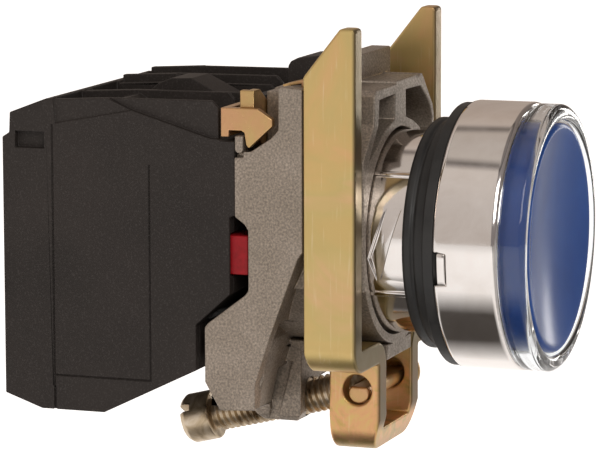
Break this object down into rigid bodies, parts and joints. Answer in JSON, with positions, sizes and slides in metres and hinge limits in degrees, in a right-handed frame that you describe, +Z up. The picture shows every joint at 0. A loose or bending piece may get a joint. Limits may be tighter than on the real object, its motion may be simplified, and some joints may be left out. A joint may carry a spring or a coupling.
{
  "type": "illuminated panel push button",
  "caption": "Illuminated flush push button for a 22.5 mm panel hole: bezel and head in front, clamping collar, contact blocks and light block behind.",
  "frame": {"origin": "centre of the panel hole on the plane of the panel's front face, where the gasket seats", "axes": "+Y along the button's axis to the rear, into the cabinet; +Z up; the operator looks along +Y; -X is the normally closed block's side"},
  "size_m": [0.03, 0.0585, 0.0483],
  "materials": {
    "blue_lens": "glossy translucent moulding",
    "frosted_plastic": "frosted",
    "carrier_plastic": "moulded",
    "spring_steel": "drawn wire",
    "clear_plastic": "clear polished moulding",
    "chrome_plate": "bright plated",
    "black_rubber": "matte",
    "cast_zinc": "raw die casting",
    "yellow_zinc": "yellow passivated zinc plate",
    "gold_zinc": "deep yellow passivated",
    "black_plastic": "fine spark-eroded moulding",
    "red_plastic": "moulded",
    "green_plastic": "moulded",
    "contact_brass": "stamped strip",
    "board_green": "coated laminate",
    "led_body": "clear epoxy",
    "zinc_steel": "bright zinc plate"
  },
  "bodies": {
    "root": {"clear_ring": "clear_plastic", "bezel": "chrome_plate", "bezel_seal": "black_rubber", "head_bushing": "chrome_plate", "panel_gasket": "black_rubber", "collar_casting": "cast_zinc", "lever_spring": "gold_zinc", "nc_housing": "black_plastic", "nc_cover": "black_plastic", "nc_fixed_contacts": "contact_brass", "no_housing": "black_plastic", "no_cover": "black_plastic", "no_fixed_contacts": "contact_brass", "light_housing": "black_plastic", "light_cover": "black_plastic", "light_terminals": "contact_brass", "led_board": "board_green", "led": "led_body", "lamp_sleeve": "carrier_plastic"},
    "button": {"lens_cap": "blue_lens", "diffuser": "frosted_plastic", "push_carrier": "carrier_plastic", "retaining_clip": "spring_steel", "return_spring": "spring_steel"},
    "nc_contact": {"nc_plunger": "red_plastic", "nc_bridge": "contact_brass", "nc_spring": "spring_steel"},
    "no_contact": {"no_plunger": "green_plastic", "no_bridge": "contact_brass", "no_spring": "spring_steel"},
    "lever": {"locking_lever": "gold_zinc"},
    "yoke": {"clamp_yoke": "yellow_zinc"},
    "pin": {"pressure_pin": "gold_zinc"},
    "yoke_screw": {"clamp_screw": "gold_zinc"},
    "nc_top_saddle": {"nc_top_clamp": "zinc_steel"},
    "nc_top_turner": {"nc_top_screw": "zinc_steel"},
    "nc_bottom_saddle": {"nc_bottom_clamp": "zinc_steel"},
    "nc_bottom_turner": {"nc_bottom_screw": "zinc_steel"},
    "light_top_saddle": {"light_top_clamp": "zinc_steel"},
    "light_top_turner": {"light_top_screw": "zinc_steel"},
    "light_bottom_saddle": {"light_bottom_clamp": "zinc_steel"},
    "light_bottom_turner": {"light_bottom_screw": "zinc_steel"},
    "no_top_saddle": {"no_top_clamp": "zinc_steel"},
    "no_top_turner": {"no_top_screw": "zinc_steel"},
    "no_bottom_saddle": {"no_bottom_clamp": "zinc_steel"},
    "no_bottom_turner": {"no_bottom_screw": "zinc_steel"}
  },
  "joints": [
    {"name": "press_button", "type": "slide", "parent": "root", "child": "button", "axis": [0, 1, 0], "range_m": [0, 0.0043], "stiffness_N_per_m": 700, "springref_m": -0.002, "deforming": ["return_spring"]},
    {"name": "nc_contact_slide", "type": "slide", "parent": "root", "child": "nc_contact", "axis": [0, 1, 0], "range_m": [0, 0.0043], "stiffness_N_per_m": 300, "springref_m": -0.002, "deforming": ["nc_spring"]},
    {"name": "no_contact_slide", "type": "slide", "parent": "root", "child": "no_contact", "axis": [0, 1, 0], "range_m": [0, 0.0043], "stiffness_N_per_m": 300, "springref_m": -0.002, "deforming": ["no_spring"]},
    {"name": "lock_lever", "type": "hinge", "parent": "root", "child": "lever", "pos_m": [0, 0.0162, 0], "axis": [0, 1, 0], "range_deg": [0, 12]},
    {"name": "clamp_slide", "type": "slide", "parent": "root", "child": "yoke", "axis": [0, -1, 0], "range_m": [0, 0.0032]},
    {"name": "pin_rise", "type": "slide", "parent": "yoke", "child": "pin", "axis": [0, 0, 1], "range_m": [0, 0.000799]},
    {"name": "clamp_screw_turn", "type": "hinge", "parent": "pin", "child": "yoke_screw", "pos_m": [0, 0.00665, -0.01695], "axis": [0, -0.9703, 0.2419], "range_deg": [0, 1697]},
    {"name": "nc_top_clamp_slide", "type": "slide", "parent": "root", "child": "nc_top_saddle", "axis": [0, -1, 0], "range_m": [0, 0.0044]},
    {"name": "nc_top_screw_turn", "type": "hinge", "parent": "nc_top_saddle", "child": "nc_top_turner", "pos_m": [-0.01, 0.04, 0.0076], "axis": [0, -1, 0], "range_deg": [0, 3169]},
    {"name": "nc_bottom_clamp_slide", "type": "slide", "parent": "root", "child": "nc_bottom_saddle", "axis": [0, -1, 0], "range_m": [0, 0.0044]},
    {"name": "nc_bottom_screw_turn", "type": "hinge", "parent": "nc_bottom_saddle", "child": "nc_bottom_turner", "pos_m": [-0.01, 0.04, -0.0118], "axis": [0, -1, 0], "range_deg": [0, 3169]},
    {"name": "light_top_clamp_slide", "type": "slide", "parent": "root", "child": "light_top_saddle", "axis": [0, -1, 0], "range_m": [0, 0.0044]},
    {"name": "light_top_screw_turn", "type": "hinge", "parent": "light_top_saddle", "child": "light_top_turner", "pos_m": [0, 0.04, 0.0076], "axis": [0, -1, 0], "range_deg": [0, 3169]},
    {"name": "light_bottom_clamp_slide", "type": "slide", "parent": "root", "child": "light_bottom_saddle", "axis": [0, -1, 0], "range_m": [0, 0.0044]},
    {"name": "light_bottom_screw_turn", "type": "hinge", "parent": "light_bottom_saddle", "child": "light_bottom_turner", "pos_m": [0, 0.04, -0.0118], "axis": [0, -1, 0], "range_deg": [0, 3169]},
    {"name": "no_top_clamp_slide", "type": "slide", "parent": "root", "child": "no_top_saddle", "axis": [0, -1, 0], "range_m": [0, 0.0044]},
    {"name": "no_top_screw_turn", "type": "hinge", "parent": "no_top_saddle", "child": "no_top_turner", "pos_m": [0.01, 0.04, 0.0076], "axis": [0, -1, 0], "range_deg": [0, 3169]},
    {"name": "no_bottom_clamp_slide", "type": "slide", "parent": "root", "child": "no_bottom_saddle", "axis": [0, -1, 0], "range_m": [0, 0.0044]},
    {"name": "no_bottom_screw_turn", "type": "hinge", "parent": "no_bottom_saddle", "child": "no_bottom_turner", "pos_m": [0.01, 0.04, -0.0118], "axis": [0, -1, 0], "range_deg": [0, 3169]}
  ],
  "couplings": [
    {"joint": "nc_contact_slide", "follows": "press_button", "ratio": 1},
    {"joint": "no_contact_slide", "follows": "press_button", "ratio": 1},
    {"joint": "pin_rise", "follows": "clamp_slide", "ratio": 0.24933},
    {"joint": "clamp_screw_turn", "follows": "clamp_slide", "rad_per_m": 9250.8},
    {"joint": "nc_top_screw_turn", "follows": "nc_top_clamp_slide", "rad_per_m": 12566},
    {"joint": "nc_bottom_screw_turn", "follows": "nc_bottom_clamp_slide", "rad_per_m": 12566},
    {"joint": "light_top_screw_turn", "follows": "light_top_clamp_slide", "rad_per_m": 12566},
    {"joint": "light_bottom_screw_turn", "follows": "light_bottom_clamp_slide", "rad_per_m": 12566},
    {"joint": "no_top_screw_turn", "follows": "no_top_clamp_slide", "rad_per_m": 12566},
    {"joint": "no_bottom_screw_turn", "follows": "no_bottom_clamp_slide", "rad_per_m": 12566}
  ]
}
